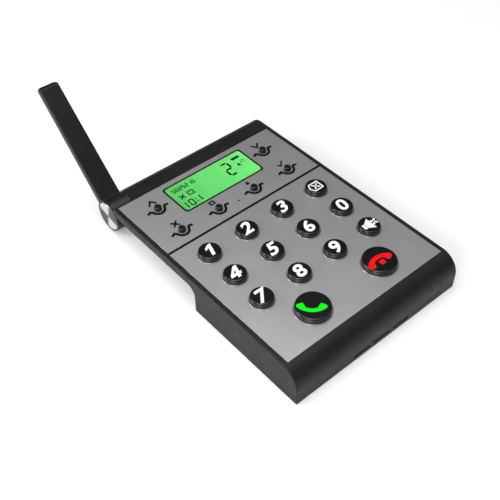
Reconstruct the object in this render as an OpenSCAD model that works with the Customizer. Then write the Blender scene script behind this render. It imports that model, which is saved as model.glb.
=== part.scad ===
// Desk paging transmitter: a metal keypad panel with a display in an arched plastic body, and a hinged
// blade antenna at the back left corner. Millimetres. X is to the right, Y to the back, Z up, and the
// table is at Z = 0. The origin is below the middle of the whole outline, antenna included.

/* [Body] */
// Width of the metal panel
panel_w = 110; // [109:0.5:111]
// Length of the metal panel, front to back
panel_l = 138.9; // [138.6:0.1:139.2]
// Thickness of the metal panel
panel_t = 0.8; // [0.7:0.1:1]
// Width of the plastic rim at each side of the panel
rim_w = 3; // [2.8:0.1:3.4]
// Height from the base to the top of the panel
body_h = 20.7; // [20.4:0.1:21]
// How far the nose reaches in front of the panel
nose_reach = 10.2; // [10:0.1:10.6]
// Radius of the rounded nose
nose_r = 11.5; // [11:0.1:12]
// Thickness of the housing walls
wall = 1.8; // [1.7:0.1:1.9]
// Thickness of the deck that carries the panel
deck_t = 1.5; // [1.4:0.1:1.6]
// Chamfer along the upper side edges
rim_chamfer = 0.5; // [0.4:0.1:0.8]

/* [Arched underside] */
// Length of the deep front block, from the panel's front edge to the step
block_l = 67.2; // [66:0.2:68]
// Radius of the fillet at the top of the step
step_r = 6; // [5:0.5:7]
// Thickness of the body behind the step, at its sides
plate_t = 4.5; // [4.4:0.1:4.8]
// Thickness of the body behind the step, over the circuit board
hump_t = 9.5; // [9.4:0.1:10]
// Width of the thicker middle behind the step
hump_w = 97; // [96.6:0.2:98]
// How far the rubber feet stand out of the base
foot_proud = 0.5; // [0.4:0.1:0.8]

/* [Keys] */
// Distance between the columns of keys
pitch_x = 25.8; // [25.4:0.1:26]
// Distance between the rows of keys
pitch_y = 20.64; // [20.2:0.02:20.8]
// Distance from the panel's front edge to the front row of number keys
first_row = 36.9; // [36.5:0.1:37.5]
// Diameter of a number key
key_d = 12.4; // [12:0.1:12.6]
// Height of a number key above the panel
key_h = 3.2; // [2.5:0.1:3.5]
// Diameter of the call and hang-up keys
call_d = 18.8; // [18.4:0.1:19.2]
// Height of the call and hang-up keys above the panel
call_h = 3.4; // [2.5:0.1:3.6]
// Distance of each call key from the middle of the panel
call_x = 23.9; // [23:0.1:25]
// Distance of the call keys from the panel's front edge
call_row = 15.5; // [15:0.1:16]
// Travel of the large keys
key_travel = 1; // [0.6:0.1:1]
// Diameter of a menu button
menu_d = 4.1; // [3.8:0.1:4.4]
// Height of a menu button above the panel
menu_h = 2.4; // [1.8:0.1:2.6]

/* [Display] */
// Width of the display window
window_w = 55.2; // [54:0.2:56]
// Height of the display window, front to back
window_l = 21.9; // [21:0.1:22.5]
// Distance from the panel's front edge to the middle of the window
window_row = 123.35; // [123:0.05:123.6]

/* [Antenna] */
// Radius of the spine along the back edge, and of the antenna's knuckle
spine_r = 9.5; // [9.4:0.1:9.6]
// Distance from the panel's front edge to the axis of the spine
spine_row = 146.4; // [146.1:0.1:146.7]
// Width of the knuckle
knuckle_w = 13.4; // [13:0.1:13.8]
// Length of the blade, from its axis to its tip
blade_l = 80.6; // [76:0.2:86]
// Thickness of the blade
blade_t = 4.2; // [4:0.1:4.4]
// Radius of the two edges of the tip
tip_r = 1.3; // [1.1:0.1:1.4]
// How far the back edge of the tip stands beyond its front edge
tip_slant = 1.2; // [1:0.1:1.5]
// How much narrower the blade is at its tip
blade_taper = 1.3; // [0.8:0.1:2]
// Angle of the blade above level
blade_tilt = 45; // [30:1:60]

/* [Power] */
// Width of the battery pack
battery_w = 54; // [50:1:54]
// Length of the battery pack
battery_l = 36; // [30:1:36]
// Thickness of the battery pack
battery_t = 8.8; // [7:0.1:8.8]

/* [Hidden] */
$fn = 96;

// Extra length of a cutter past the face that it cuts
over = 1;
// Gap between the two housing shells
shell_gap = 0.2;
// Chamfer round the nose and the spine, a little narrower than the one along the top
round_chamfer = rim_chamfer - 0.05;

// Heights
base_z = foot_proud;
top_z = base_z + body_h;
deck_top = top_z - panel_t;
deck_under = deck_top - deck_t;
board_t = 1.2;
board_top = top_z - 5.3;
board_under = board_top - board_t;
floor_z = base_z + wall;
hump_floor = top_z - hump_t + wall;

// The blade in its own frame: its front face is 0.5 mm in front of the axis
blade_front = 0.5;
blade_heel = blade_t - blade_front;
blade_mid = blade_front - blade_t / 2;
tip_s = blade_l - tip_r;
tip_n = tip_r - blade_heel;

// Widths and places along Y: the tip of the blade is the rearmost point
body_w = panel_w + 2 * rim_w;
side_x = body_w / 2;
tip_reach = tip_s * cos(blade_tilt) - tip_n * sin(blade_tilt) + tip_r;
front_y = -(nose_reach + spine_row + tip_reach) / 2;
panel_y = front_y + nose_reach;
back_y = panel_y + panel_l;
step_y = panel_y + block_l;
axis_y = panel_y + spine_row;
axis_z = top_z - spine_r;
nose_y = front_y + nose_r;
nose_z = top_z - nose_r;

// The bottom cover ends just in front of the spine
cover_end = back_y - 4.9;

// Panel and its openings
panel_gap = 0.35;
hole_gap = 0.2;
deck_hole_gap = 0.3;
lip_w = 0.55;
lip_h = 0.25;
divider_row = 92.3;
divider_w = 1.3;
divider_deep = 0.3;
microphone_row = 100.1;
microphone_hole = 0.5;

// Keys
key_edge = 0.8;
key_wall = 1.2;
key_roof = 1.4;
flange_lip = 1;
flange_t = 0.8;
stop_gap = 0.1;
post_r = 2.4;
dome_gap = 0.05;
menu_near = 102;
menu_far = 124;
menu_edge = 0.5;
menu_flange_t = 0.5;

// Rubber mat with a hollow dome under each large key
mat_t = 0.8;
mat_w = 88;
mat_front = 4;
mat_l = 83;
dome_top = deck_under - 0.3;
dome_foot_r = 4.4;
dome_head_r = 3.2;
dome_wall = 0.7;
dome_roof = 1.1;
pill_r = 1.8;
pill_t = 0.7;

// Display stack under the window
window_x = 0.5;
window_corner = 2.4;
window_gap = 0.1;
window_lip = 1.1;
window_t = 1.3;
glass_t = 1.6;
glass_top = top_z - window_t - 0.05;
glass_under = glass_top - glass_t;
frame_edge = 2.6;
backlight_w = 53;
backlight_l = 16;
zebra_l = 50;
zebra_w = 1.6;
zebra_row = 10;

// Circuit board
board_w = 88;
board_front = -1;
board_end = 133;

// Screws: four in the front block and two behind the step
screw_head_r = 2.2;
screw_head_t = 0.9;
screw_sink = 1;
screw_r = 1.15;
screw_l = 5.5;
boss_bore_r = 1.2;
front_boss_r = 3;
rear_boss_r = 2.6;
front_boss_x = 50;
front_boss_rows = [4, 60];
rear_boss_x = 38.7;
rear_boss_row = 113;
pad_r = 4;
pad_t = 1.6;

// Feet
foot_r = 4;
foot_sink = 0.6;
foot_x = 40;
foot_rows = [2, 60];
rear_foot_x = 38;
rear_foot_w = 12;
rear_foot_l = 9;
rear_foot_top = 4;

// Speaker behind three slots low in the nose
slot_w = 11.6;
slot_h = 1.3;
slot_pitch = 14.2;
slot_x = 1;
slot_z = top_z - 17.5;
speaker_w = 40;
speaker_h = 10;
speaker_t = 4.4;
gasket_h = 8.1;
gasket_t = 1;
gasket_edge = 1.6;

// Power jack in the right wall
jack_row = 30;
jack_z = top_z - 11.6;
jack_w = 9.5;
jack_h = 9.6;
jack_in = 42;
jack_nose_r = 4;
jack_bore_r = 2.9;
jack_bore_l = 9;
jack_pin_r = 1;

// Battery and its sliding door
battery_row = 18;
battery_z = floor_z + 0.4;
battery_corner = 2.5;
door_w = 52;
door_row = 16;
door_skin = 0.9;
door_lip = 1.2;
door_gap = 0.15;
contact_w = 3;
contact_t = 0.8;
contact_pitch = 8;

// Antenna hinge
notch_gap = 0.4;
notch_row = 140;
knuckle_gap = 0.3;
knuckle_x = -side_x + knuckle_w;
notch_x = knuckle_x + knuckle_gap;
journal_r = 4;
journal_fit = 0.05;
journal_end = notch_x + 5.5;
cable_bore_r = 1.2;
cable_r = 0.4;
cap_r = 8.6;
cap_t = 1;
cap_gap = 0.05;
clip_x = notch_x + 3.1;
clip_t = 0.7;
clip_r = 5.6;
groove_r = 3.4;
washer_r = 6;
washer_t = 0.8;
blade_edge = 0.8;
blade_corner = 2;
element_w = 5;
element_t = 0.8;
element_x = -side_x + 3.5;
element_l = 70;
element_gap = 0.4;

// Route of the antenna cable, from inside the knuckle to its socket on the board
cable_end = notch_x - 7;
cable_x = -34;
cable_z = board_under - 0.6;
socket_r = 1.9;
socket_y = step_y - 7;
cable_route = [
    [cable_end, axis_y, axis_z],
    [-37, axis_y, axis_z],
    [cable_x, axis_y - 4, axis_z + 3],
    [cable_x, axis_y - 11, cable_z],
    [cable_x, socket_y + socket_r + cable_r + 0.05, cable_z]
];

function key_x(col) = (col - 1.5) * pitch_x;
function key_y(row) = panel_y + first_row + row * pitch_y;

// Turns a drawing of the side view, in Y and Z, into a solid of width w along X
module along_x(w) {
    rotate([90, 0, 90])
        linear_extrude(w, center = true)
            children();
}

// A cylinder along X from x0 to x1
module rod_x(x0, x1, r) {
    translate([x0, 0, 0])
        rotate([0, 90, 0])
            cylinder(h = x1 - x0, r = r);
}

// A block in X and Y around the middle of its base
module block(w, l, h) {
    translate([-w / 2, -l / 2, 0])
        cube([w, l, h]);
}

// A block with upright rounded corners, around the middle of its base
module rounded_block(w, l, h, r) {
    linear_extrude(h)
        rounded_rectangle(w, l, r);
}

module rounded_rectangle(w, l, r) {
    square([w - 2 * r, l], center = true);
    square([w, l - 2 * r], center = true);
    for (sx = [-1, 1], sy = [-1, 1])
        translate([sx * (w / 2 - r), sy * (l / 2 - r)])
            circle(r);
}

module at_number_keys() {
    for (col = [0:3], row = [0:2])
        translate([key_x(col), key_y(row), 0])
            children();
}

module at_call_keys() {
    for (sx = [-1, 1])
        translate([sx * call_x, panel_y + call_row, 0])
            children();
}

module at_menu_buttons() {
    for (col = [0:3])
        translate([key_x(col), panel_y + menu_near, 0])
            children();
    for (col = [0, 3])
        translate([key_x(col), panel_y + menu_far, 0])
            children();
}

module at_front_bosses() {
    for (sx = [-1, 1], row = front_boss_rows)
        translate([sx * front_boss_x, panel_y + row, 0])
            children();
}

module at_rear_bosses() {
    for (sx = [-1, 1])
        translate([sx * rear_boss_x, panel_y + rear_boss_row, 0])
            children();
}

module at_feet() {
    for (sx = [-1, 1], row = foot_rows)
        translate([sx * foot_x, panel_y + row, 0])
            children();
}

module at_display() {
    translate([window_x, panel_y + window_row, 0])
        children();
}

// Side view of the body, shrunk by inset: front block, section behind the step and round spine
module side_outline(inset, rear_t) {
    front = front_y + inset;
    low = base_z + inset;
    high = top_z - inset;
    under = top_z - rear_t + inset;
    step = step_y - inset;
    fillet = step_r + inset;
    difference() {
        translate([front, low])
            square([step - front, high - low]);
        difference() {
            translate([front - over, nose_z])
                square([nose_r - inset + over, nose_r + over]);
            translate([nose_y, nose_z])
                circle(nose_r - inset);
        }
    }
    translate([step, under])
        square([axis_y - step, high - under]);
    difference() {
        translate([step, under - fillet])
            square(fillet);
        translate([step + fillet, under - fillet])
            circle(fillet);
    }
    translate([axis_y, axis_z])
        circle(spine_r - inset);
}

// The whole body shrunk by inset, with the thicker middle behind the step
module body_solid(inset) {
    along_x(body_w - 2 * inset)
        side_outline(inset, plate_t);
    along_x(hump_w - 2 * inset)
        side_outline(inset, hump_t);
}

// Cuts a chamfer c round an arc of radius r about X, from angle a0 through angle a, at the right-hand side
module arc_chamfer(r, a0, a, c) {
    rotate([90, 0, 90])
        rotate([0, 0, a0])
            rotate_extrude(angle = a)
                polygon([
                    [r - c - over, side_x + over],
                    [r + over, side_x - c - over],
                    [r + over, side_x + over]
                ]);
}

// Chamfer cutters of one side: top edge, rounded nose and upright front edge
module side_chamfers() {
    top_c = rim_chamfer * sqrt(2);
    front_c = round_chamfer * sqrt(2);
    translate([side_x, (nose_y + axis_y) / 2, top_z])
        rotate([0, 45, 0])
            cube([top_c, axis_y - nose_y, top_c], center = true);
    translate([0, nose_y, nose_z])
        arc_chamfer(nose_r, 90, 90, round_chamfer);
    translate([side_x, front_y, nose_z - body_h / 2])
        rotate([0, 0, 45])
            cube([front_c, front_c, body_h], center = true);
}

// The space that the bottom cover fills in the top housing, grown by gap
module cover_space(gap) {
    w = body_w - 2 * wall - 2 * shell_gap + 2 * gap;
    front = front_y + wall + shell_gap - gap;
    rear = step_y - wall - 0.5;
    translate([-w / 2, front, base_z - over])
        cube([w, step_y - front, wall + over + gap]);
    translate([-w / 2, rear - gap, base_z - over])
        cube([w, cover_end + gap - rear + gap, deck_under - base_z + over - shell_gap + gap]);
}

// The notch at the back left corner where the knuckle turns
module knuckle_notch() {
    translate([0, axis_y, axis_z])
        rod_x(-side_x - over, notch_x, spine_r + notch_gap);
    translate([-side_x - over, panel_y + notch_row, axis_z])
        cube([side_x + over + notch_x, 2 * spine_r, spine_r + over]);
}

module top_housing() {
    color("#242426")
        difference() {
            union() {
                difference() {
                    body_solid(0);
                    intersection() {
                        body_solid(wall);
                        translate([-side_x, front_y, 0])
                            cube([body_w, 2 * body_w, deck_under]);
                    }
                    cover_space(shell_gap);
                }
                // Solid corner round the notch, which the knuckle's journal passes through
                intersection() {
                    along_x(body_w)
                        side_outline(0, plate_t);
                    translate([-side_x, cover_end + shell_gap, 0])
                        cube([side_x + notch_x + wall, body_w, top_z]);
                }
                at_front_bosses()
                    translate([0, 0, floor_z + pad_t + shell_gap])
                        cylinder(h = deck_under - floor_z - pad_t, r = front_boss_r);
                at_rear_bosses()
                    translate([0, 0, hump_floor + shell_gap])
                        cylinder(h = deck_under - hump_floor, r = rear_boss_r);
            }
            knuckle_notch();
            translate([0, axis_y, axis_z])
                rod_x(notch_x - over, notch_x + wall + over, journal_r + journal_fit);
            side_chamfers();
            mirror([1, 0, 0])
                side_chamfers();
            translate([0, axis_y, axis_z])
                arc_chamfer(spine_r, -90, 180, round_chamfer);
            translate([0, (panel_y + back_y) / 2, deck_top])
                block(panel_w + 2 * panel_gap, panel_l + 2 * panel_gap, panel_t + over);
            at_number_keys()
                translate([0, 0, deck_under - over])
                    cylinder(h = deck_t + 2 * over, r = key_d / 2 + deck_hole_gap);
            at_call_keys()
                translate([0, 0, deck_under - over])
                    cylinder(h = deck_t + 2 * over, r = call_d / 2 + deck_hole_gap);
            at_menu_buttons()
                translate([0, 0, deck_under - over])
                    cylinder(h = deck_t + 2 * over, r = menu_d / 2 + deck_hole_gap);
            at_display()
                translate([0, 0, deck_under - over])
                    block(window_w + 2 * window_lip + 0.4, window_l + 2 * window_lip + 0.4, deck_t + 2 * over);
            translate([0, panel_y + microphone_row, deck_under - over])
                cylinder(h = deck_t + 2 * over, r = microphone_hole);
            at_front_bosses()
                translate([0, 0, floor_z])
                    cylinder(h = deck_under - floor_z - 2, r = boss_bore_r);
            at_rear_bosses()
                translate([0, 0, base_z])
                    cylinder(h = deck_under - base_z - 0.3, r = boss_bore_r);
            for (i = [-1:1])
                translate([slot_x + i * slot_pitch - slot_w / 2, front_y - over, slot_z - slot_h / 2])
                    cube([slot_w, wall + 2 * over, slot_h]);
            translate([0, panel_y + jack_row, jack_z])
                rod_x(side_x - wall - over, side_x + over, jack_nose_r + shell_gap);
        }
}

module bottom_cover() {
    color("#2b2b2d")
        difference() {
            union() {
                intersection() {
                    difference() {
                        body_solid(0);
                        body_solid(wall);
                    }
                    cover_space(0);
                }
                at_front_bosses()
                    translate([0, 0, base_z])
                        cylinder(h = wall + pad_t, r = pad_r);
            }
            at_front_bosses()
                screw_hole(base_z);
            at_rear_bosses()
                screw_hole(top_z - hump_t);
            at_feet()
                translate([0, 0, base_z - over])
                    cylinder(h = foot_sink + over, r = foot_r + shell_gap);
            translate([0, 0, base_z - over])
                door_outline(door_w + 2 * door_gap, door_skin + over + door_gap, door_gap, over);
            translate([0, 0, base_z + door_skin])
                door_outline(door_w + 2 * door_lip + 2 * door_gap, wall - door_skin + door_gap, door_gap, over);
        }
}

// Countersunk way for a screw whose head sits in the underside at height z
module screw_hole(z) {
    translate([0, 0, z - over])
        cylinder(h = screw_sink + over, r = screw_head_r + shell_gap);
    translate([0, 0, z])
        cylinder(h = 2 * wall + pad_t, r = boss_bore_r + shell_gap);
}

// Plan of the battery door from its front edge back through the step, grown at the front by gap and
// carried past the step by past
module door_outline(w, h, gap, past) {
    front = panel_y + door_row - gap;
    translate([-w / 2, front, 0])
        cube([w, step_y + past - front, h]);
}

module face_panel() {
    color("#9a9a9c")
        translate([0, 0, deck_top])
            difference() {
                union() {
                    translate([0, (panel_y + back_y) / 2, 0])
                        block(panel_w, panel_l, panel_t);
                    at_number_keys()
                        panel_lip(key_d / 2 + hole_gap);
                    at_call_keys()
                        panel_lip(call_d / 2 + hole_gap);
                }
                at_number_keys()
                    panel_hole(key_d / 2 + hole_gap);
                at_call_keys()
                    panel_hole(call_d / 2 + hole_gap);
                at_menu_buttons()
                    panel_hole(menu_d / 2 + hole_gap);
                translate([0, panel_y + microphone_row, 0])
                    panel_hole(microphone_hole);
                at_display()
                    translate([0, 0, -over])
                        rounded_block(
                            window_w + 2 * window_gap,
                            window_l + 2 * window_gap,
                            panel_t + 2 * over,
                            window_corner
                        );
                translate([0, panel_y + divider_row, panel_t - divider_deep])
                    block(panel_w + 2 * over, divider_w, divider_deep + over);
            }
}

// A round hole through the panel
module panel_hole(r) {
    translate([0, 0, -over])
        cylinder(h = panel_t + 2 * over, r = r);
}

// A low lip with a sloping outside, pressed up round a hole of radius r
module panel_lip(r) {
    root = 0.1;
    translate([0, 0, panel_t - root])
        cylinder(h = lip_h + root, r1 = r + lip_w + root, r2 = r + lip_w - lip_h);
}

module case_screws() {
    color("#8c8f94") {
        at_front_bosses()
            screw(base_z);
        at_rear_bosses()
            screw(top_z - hump_t);
    }
}

// A screw whose head lies in the underside at height z, with a square drive
module screw(z) {
    translate([0, 0, z + screw_sink - screw_head_t])
        difference() {
            union() {
                cylinder(h = screw_head_t, r = screw_head_r);
                cylinder(h = screw_head_t + screw_l, r = screw_r);
            }
            translate([0, 0, -over])
                block(1.3, 1.3, over + 0.6);
        }
}

module base_feet() {
    color("#1a1a1a")
        at_feet()
            cylinder(h = foot_proud + foot_sink, r = foot_r);
}

// Pads that fill the gap between the round spine and the table
module rear_feet() {
    color("#1a1a1a")
        for (sx = [-1, 1])
            difference() {
                translate([sx * rear_foot_x, axis_y, 0])
                    block(rear_foot_w, rear_foot_l, rear_foot_top);
                translate([0, axis_y, axis_z])
                    rod_x(-side_x, side_x, spine_r + 0.02);
            }
}

// Clear window that fills the panel's opening, with a lip under the panel
module display_window() {
    color("#b8d8b8", 0.5)
        at_display() {
            translate([0, 0, deck_top])
                rounded_block(window_w, window_l, panel_t, window_corner);
            translate([0, 0, top_z - window_t])
                block(window_w + 2 * window_lip, window_l + 2 * window_lip, window_t - panel_t);
        }
}

module display_glass() {
    color("#6fdc72")
        at_display()
            translate([0, 0, glass_under])
                block(window_w + 2 * window_lip - 0.4, window_l + 2 * window_lip - 0.4, glass_t);
}

module backlight() {
    color("#d8ffd8")
        at_display()
            translate([0, 0, board_top + 0.1])
                block(backlight_w, backlight_l, glass_under - board_top - 0.2);
}

// Frame that holds the glass, the backlight and the zebra strips down on the board
module display_frame() {
    w = window_w + 2 * window_lip;
    l = window_l + 2 * window_lip;
    top = deck_under - 0.1;
    color("#3a3a3c")
        at_display()
            difference() {
                translate([0, 0, board_top])
                    block(w + 2 * frame_edge, l + 2 * frame_edge, top - board_top);
                translate([0, 0, glass_under])
                    block(w, l, glass_t);
                translate([0, 0, board_top - over])
                    block(backlight_w + 0.4, backlight_l + 0.4, glass_t + 2 * over);
                for (sy = [-1, 1])
                    translate([0, sy * zebra_row, board_top - over])
                        block(zebra_l + 0.4, zebra_w + 0.4, glass_t + 2 * over);
            }
}

// Rubber strips that join the glass to the board
module zebra_strips() {
    color("#c46a3a")
        at_display()
            for (sy = [-1, 1])
                translate([0, sy * zebra_row, board_top])
                    block(zebra_l, zebra_w, glass_under - board_top);
}

module main_board() {
    l = board_end - board_front;
    color("#1f6b3a")
        difference() {
            translate([0, panel_y + (board_front + board_end) / 2, board_under])
                block(board_w, l, board_t);
            at_rear_bosses()
                translate([0, 0, board_under - over])
                    cylinder(h = board_t + 2 * over, r = rear_boss_r + 0.4);
        }
}

// Chips, a crystal and the antenna's socket, all under the board
module board_chips() {
    color("#2a2a30") {
        chip(0, 8, 12, 12, 1.2);
        chip(-20, 8, 8, 8, 1);
        chip(17, 10, 5, 4, 1);
        chip(19, 60, 8, 6, 1.4);
    }
    color("#b9bcc2") {
        translate([28, panel_y + 8, board_under - 2.5])
            cylinder(h = 2.5, r = 1.6);
        translate([cable_x, socket_y, board_under - 1.2])
            cylinder(h = 1.2, r = socket_r);
    }
}

module chip(x, row, w, l, t) {
    translate([x, panel_y + row, board_under - t])
        block(w, l, t);
}

// Pressed steel can over the radio circuit
module rf_shield() {
    t = 0.3;
    w = 14;
    l = 22;
    h = 2.5;
    color("#c3c6ca")
        translate([-36, panel_y + 43, board_under - h])
            difference() {
                block(w, l, h);
                translate([0, 0, t])
                    block(w - 2 * t, l - 2 * t, h);
            }
}

// Small switches under the menu buttons
module tact_switches() {
    color("#55565a")
        at_menu_buttons() {
            translate([0, 0, board_top])
                block(4.5, 4.5, 1.4);
            translate([0, 0, board_top])
                cylinder(h = 2, r = 1.1);
        }
}

module at_domes() {
    at_number_keys()
        children();
    at_call_keys()
        children();
}

module keypad_mat() {
    color("#6d6f73")
        difference() {
            union() {
                translate([0, panel_y + mat_front + mat_l / 2, board_top])
                    block(mat_w, mat_l, mat_t);
                at_domes()
                    translate([0, 0, board_top + mat_t])
                        cylinder(h = dome_top - board_top - mat_t, r1 = dome_foot_r, r2 = dome_head_r);
            }
            at_domes()
                translate([0, 0, board_top - over])
                    cylinder(h = mat_t + over, r = dome_foot_r - dome_wall);
            at_domes()
                translate([0, 0, board_top + mat_t])
                    cylinder(
                        h = dome_top - dome_roof - board_top - mat_t,
                        r1 = dome_foot_r - dome_wall,
                        r2 = dome_head_r - dome_wall
                    );
        }
}

// Conductive pills that hang under the roof of each dome
module contact_pills() {
    color("#101012")
        at_domes()
            translate([0, 0, dome_top - dome_roof - pill_t])
                cylinder(h = pill_t, r = pill_r);
}

module microphone() {
    color("#b9bcc2")
        translate([0, panel_y + microphone_row, board_top])
            cylinder(h = deck_under - board_top - 0.2, r = 2);
}

// Flat speaker that stands behind the slots in the nose
module speaker() {
    low = floor_z + shell_gap;
    front = front_y + wall + 0.1 + gasket_t;
    color("#303034")
        translate([slot_x, front + speaker_t / 2, low])
            difference() {
                block(speaker_w, speaker_t, speaker_h);
                translate([0, -speaker_t / 2, gasket_edge])
                    block(speaker_w - 2 * gasket_edge, 2.4, speaker_h - 2 * gasket_edge);
            }
}

// Foam ring that seals the speaker to the nose
module speaker_gasket() {
    low = floor_z + shell_gap;
    front = front_y + wall + 0.05;
    color("#4a4a4c")
        translate([slot_x, front + gasket_t / 2, low])
            difference() {
                block(speaker_w, gasket_t, gasket_h);
                translate([0, 0, gasket_edge / 2])
                    block(speaker_w - 2 * gasket_edge, 2 * gasket_t, gasket_h - gasket_edge);
            }
}

// Round power socket: a square body under the board and a nose through the right wall
module power_jack() {
    mouth = side_x - 0.1;
    color("#161618")
        translate([0, panel_y + jack_row, jack_z])
            difference() {
                union() {
                    translate([(jack_in + side_x - wall) / 2, 0, -jack_h / 2])
                        block(side_x - wall - jack_in - 0.3, jack_w, jack_h);
                    rod_x(side_x - wall - over, mouth, jack_nose_r);
                }
                rod_x(mouth - jack_bore_l, mouth + over, jack_bore_r);
            }
}

module jack_pin() {
    mouth = side_x - 0.1;
    color("#d0b060")
        translate([0, panel_y + jack_row, jack_z])
            rod_x(mouth - jack_bore_l, mouth - 1, jack_pin_r);
}

module battery_pack() {
    color("#3f5f8f")
        translate([0, panel_y + battery_row + battery_l / 2, battery_z])
            rounded_block(battery_w, battery_l, battery_t, battery_corner);
}

// Three springy blades from the board to the back end of the battery
module battery_contacts() {
    low = battery_z + 2;
    back = panel_y + battery_row + battery_l + 0.05;
    color("#cfae5a")
        for (i = [-1:1])
            translate([i * contact_pitch - contact_w / 2, back, 0]) {
                translate([0, 0, low])
                    cube([contact_w, contact_t, board_under - low]);
                translate([0, 0, board_under - contact_t / 2])
                    cube([contact_w, 4, contact_t / 2]);
            }
}

// Battery door: its lips run in grooves of the base, and it slides out through the step
module battery_door() {
    groove_w = 30;
    groove_l = 1;
    groove_t = 0.3;
    color("#2b2b2d")
        difference() {
            union() {
                translate([0, 0, base_z])
                    door_outline(door_w, door_skin, 0, 0);
                translate([0, 0, base_z + door_skin + door_gap / 3])
                    door_outline(door_w + 2 * door_lip - door_gap, wall - door_skin - door_gap, 0, 0);
                translate([0, 0, base_z])
                    door_outline(door_w - 2, wall - door_gap, 0, 0);
            }
            for (i = [0:3])
                translate([0, step_y - 6 - 2.4 * i, base_z - over])
                    block(groove_w, groove_l, over + groove_t);
        }
}

// Puts children in the blade's own frame: Y along the blade, Z out of its front face, X as it is
module in_blade_frame() {
    translate([0, axis_y, axis_z])
        rotate([blade_tilt, 0, 0])
            children();
}

// Plan of the blade, straight on the left and tapered on the right, with rounded tip corners
module blade_plan() {
    r = blade_corner;
    tip_x = knuckle_x - blade_taper;
    polygon([[-side_x, 0], [knuckle_x, 0], [tip_x, blade_l - r], [-side_x, blade_l - r]]);
    translate([-side_x + r, blade_l - 2 * r])
        square([tip_x + side_x - 2 * r, 2 * r]);
    for (x = [-side_x + r, tip_x - r])
        translate([x, blade_l - r])
            circle(r);
}

// Side view of the blade in its own frame: its slanted tip joins a round front edge and a round back edge
module blade_side() {
    front_s = tip_s - tip_slant;
    front_n = blade_front - tip_r;
    facing = atan2(tip_slant, front_n - tip_n);
    polygon([
        [0, blade_front],
        [front_s, blade_front],
        [front_s + tip_r * cos(facing), front_n + tip_r * sin(facing)],
        [tip_s + tip_r * cos(facing), tip_n + tip_r * sin(facing)],
        [tip_s, tip_n],
        [tip_s, -blade_heel],
        [0, -blade_heel]
    ]);
    translate([front_s, front_n])
        circle(tip_r);
    translate([tip_s, tip_n])
        circle(tip_r);
}

// Rounds the edge that runs along Y at the origin, between the faces toward -X and +Z
module edge_cutter(l) {
    r = blade_edge;
    translate([0, -over, 0])
        rotate([-90, 0, 0])
            linear_extrude(l)
                difference() {
                    translate([-over, -over])
                        square([r + over, r + over]);
                    translate([r, r])
                        circle(r);
                }
}

// Antenna: blade, knuckle and the journal that turns in the housing
module antenna_blade() {
    taper = atan(blade_taper / blade_l);
    slot_across = element_w + 2 * element_gap;
    color("#2a2a2c")
        in_blade_frame()
            difference() {
                union() {
                    difference() {
                        intersection() {
                            translate([0, 0, -blade_t])
                                linear_extrude(2 * blade_t)
                                    blade_plan();
                            translate([-side_x / 2, 0, 0])
                                along_x(2 * side_x)
                                    blade_side();
                        }
                        translate([-side_x, 0, blade_front])
                            edge_cutter(blade_l + 2 * over);
                        translate([-side_x, 0, -blade_heel])
                            mirror([0, 0, 1])
                                edge_cutter(blade_l + 2 * over);
                        translate([knuckle_x, 0, blade_front])
                            rotate([0, 0, taper])
                                mirror([1, 0, 0])
                                    edge_cutter(blade_l + 2 * over);
                        translate([knuckle_x, 0, -blade_heel])
                            rotate([0, 0, taper])
                                mirror([1, 0, 0])
                                    mirror([0, 0, 1])
                                        edge_cutter(blade_l + 2 * over);
                    }
                    rod_x(-side_x, knuckle_x, spine_r);
                    rod_x(knuckle_x - over, journal_end, journal_r);
                }
                rod_x(-side_x - over, -side_x + cap_t + cap_gap, cap_r + cap_gap);
                rod_x(cable_end - over, journal_end + over, cable_bore_r);
                clip_groove();
                translate([element_x - element_gap, -cable_bore_r, blade_mid - element_t]) {
                    cube([slot_across, element_l + 2 * element_gap + cable_bore_r, 2 * element_t]);
                    cube([slot_across, 2 * cable_bore_r + element_gap, cable_bore_r - blade_mid]);
                }
            }
}

// Groove near the end of the journal for the retaining clip
module clip_groove() {
    difference() {
        rod_x(clip_x - 0.05, clip_x + clip_t + 0.05, journal_r + over);
        rod_x(clip_x - over, clip_x + 2 * over, groove_r);
    }
}

// Metal strip inside the blade, with a leg beside the end of the cable
module antenna_element() {
    color("#c8a850")
        in_blade_frame() {
            translate([element_x, cable_r + 0.2, blade_mid - element_t / 2])
                cube([element_w, element_l - cable_r, element_t]);
            translate([element_x, cable_r + 0.2, blade_mid])
                cube([element_w, element_t, -blade_mid]);
        }
}

// Bright disc let into the outer end of the knuckle
module knuckle_cap() {
    bevel = 0.25;
    color("#d9dcdf")
        in_blade_frame() {
            rod_x(-side_x + bevel, -side_x + cap_t, cap_r);
            translate([-side_x, 0, 0])
                rotate([0, 90, 0])
                    cylinder(h = bevel, r1 = cap_r - bevel, r2 = cap_r);
        }
}

// Open ring that snaps into the journal's groove
module retaining_clip() {
    color("#b9bcc2")
        in_blade_frame()
            difference() {
                rod_x(clip_x, clip_x + clip_t, clip_r);
                rod_x(clip_x - over, clip_x + 2 * over, groove_r + 0.05);
                translate([clip_x - over, -1.8, 0])
                    cube([3 * over, 3.6, clip_r + over]);
            }
}

// Spring washer between the housing and the clip, whose squeeze holds the blade at any angle
module wave_washer() {
    color("#b9bcc2")
        translate([0, axis_y, axis_z])
            difference() {
                rod_x(notch_x + wall + 0.1, notch_x + wall + 0.1 + washer_t, washer_r);
                rod_x(notch_x, notch_x + 2 * wall, journal_r + shell_gap);
            }
}

module antenna_cable() {
    color("#1c1c1e")
        wire(cable_route, cable_r);
}

// A round wire along straight stretches
module wire(points, r) {
    for (i = [0 : len(points) - 2])
        hull() {
            translate(points[i])
                sphere(r, $fn = 12);
            translate(points[i + 1])
                sphere(r, $fn = 12);
        }
}

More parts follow.
